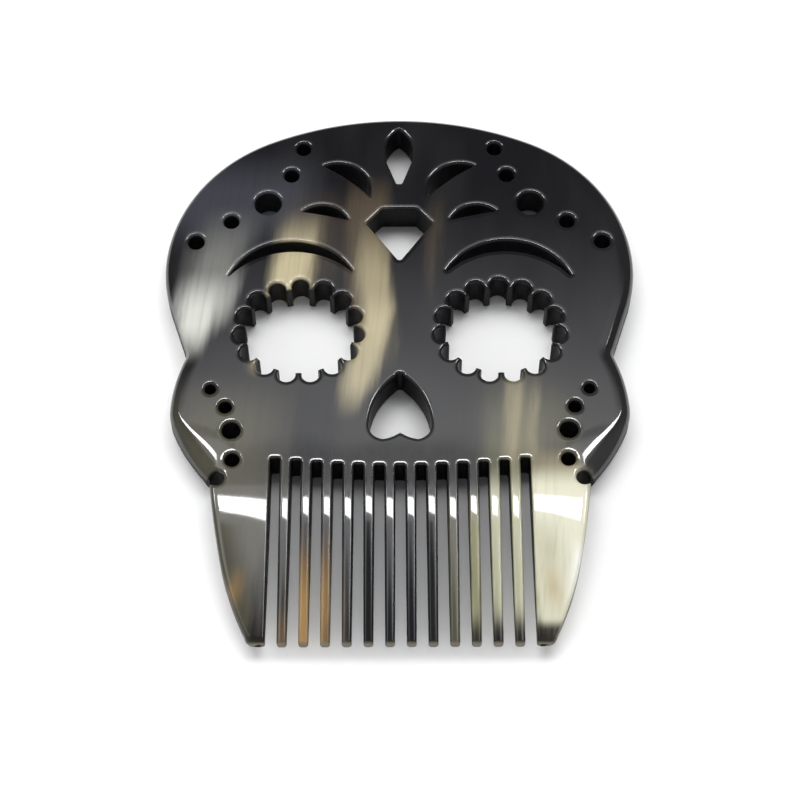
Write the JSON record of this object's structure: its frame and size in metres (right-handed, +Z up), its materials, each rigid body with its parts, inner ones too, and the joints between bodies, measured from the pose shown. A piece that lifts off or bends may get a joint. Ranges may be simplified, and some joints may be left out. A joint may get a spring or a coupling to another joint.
{
  "type": "beard comb",
  "caption": "Flat pocket beard comb of polished horn, cut as a plain sugar skull with pierced eyes, nose and dots, and a row of tapered teeth between two guard tines.",
  "frame": {"origin": "centre of the comb's footprint, on the flat back face that it lies on", "axes": "+Z up out of the front face, +Y along the comb from the tooth tips to the crown, +X across the comb to the right as seen from the front with the teeth towards the viewer"},
  "size_m": [0.07, 0.088, 0.0052],
  "materials": {
    "polished_horn": "polished natural horn, nearly black with grey, cream and amber streaks that run lengthwise"
  },
  "bodies": {
    "root": {"cranium": "polished_horn", "face_left": "polished_horn", "face_right": "polished_horn", "guard_left": "polished_horn", "guard_right": "polished_horn", "tooth_01": "polished_horn", "tooth_02": "polished_horn", "tooth_03": "polished_horn", "tooth_04": "polished_horn", "tooth_05": "polished_horn", "tooth_06": "polished_horn", "tooth_07": "polished_horn", "tooth_08": "polished_horn", "tooth_09": "polished_horn", "tooth_10": "polished_horn", "tooth_11": "polished_horn", "tooth_12": "polished_horn"}
  },
  "joints": []
}
